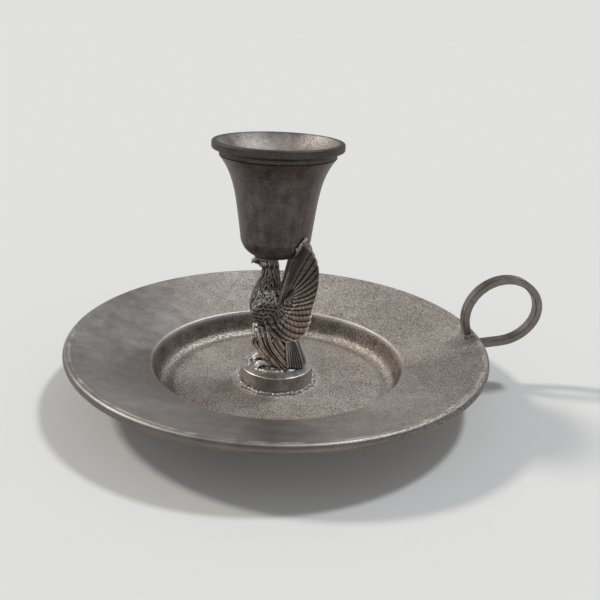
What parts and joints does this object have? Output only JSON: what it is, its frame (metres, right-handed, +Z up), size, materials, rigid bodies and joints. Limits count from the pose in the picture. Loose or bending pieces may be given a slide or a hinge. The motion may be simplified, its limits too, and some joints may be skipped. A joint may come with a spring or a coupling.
{
  "type": "chamberstick",
  "caption": "Chamberstick: a drip pan with a rolled rim and a strip finger loop, and a standing eagle that bears a flared candle cup with a lift-out drip collar.",
  "frame": {"origin": "centre of the drip pan's flat underside", "axes": "+Z up along the pan's axis; -X is the way the eagle looks; the finger loop stands out near +X"},
  "size_m": [0.175, 0.152, 0.0901],
  "materials": {
    "pan_metal": "aged pewter, satin",
    "plinth_metal": "aged pewter, satin",
    "eagle_metal": "cast pewter, dark in the hollows",
    "cup_metal": "dark aged pewter, satin",
    "collar_metal": "aged pewter, pitted",
    "loop_metal": "aged pewter, worn edges",
    "solder": "rough bright solder"
  },
  "bodies": {
    "stand": {"drip_pan": "pan_metal", "plinth": "plinth_metal", "plinth_solder": "solder", "eagle_body": "eagle_metal", "left_wing": "eagle_metal", "right_wing": "eagle_metal", "left_shoulder_solder": "solder", "right_shoulder_solder": "solder", "head_solder": "solder", "left_wing_solder": "solder", "right_wing_solder": "solder", "candle_cup": "cup_metal", "finger_loop": "loop_metal", "loop_upper_solder": "solder", "loop_lower_solder": "solder"},
    "collar": {"drip_collar": "collar_metal"}
  },
  "joints": [
    {"name": "collar_lift", "type": "slide", "parent": "stand", "child": "collar", "axis": [0, 0, 1], "range_m": [0, 0.03]}
  ]
}
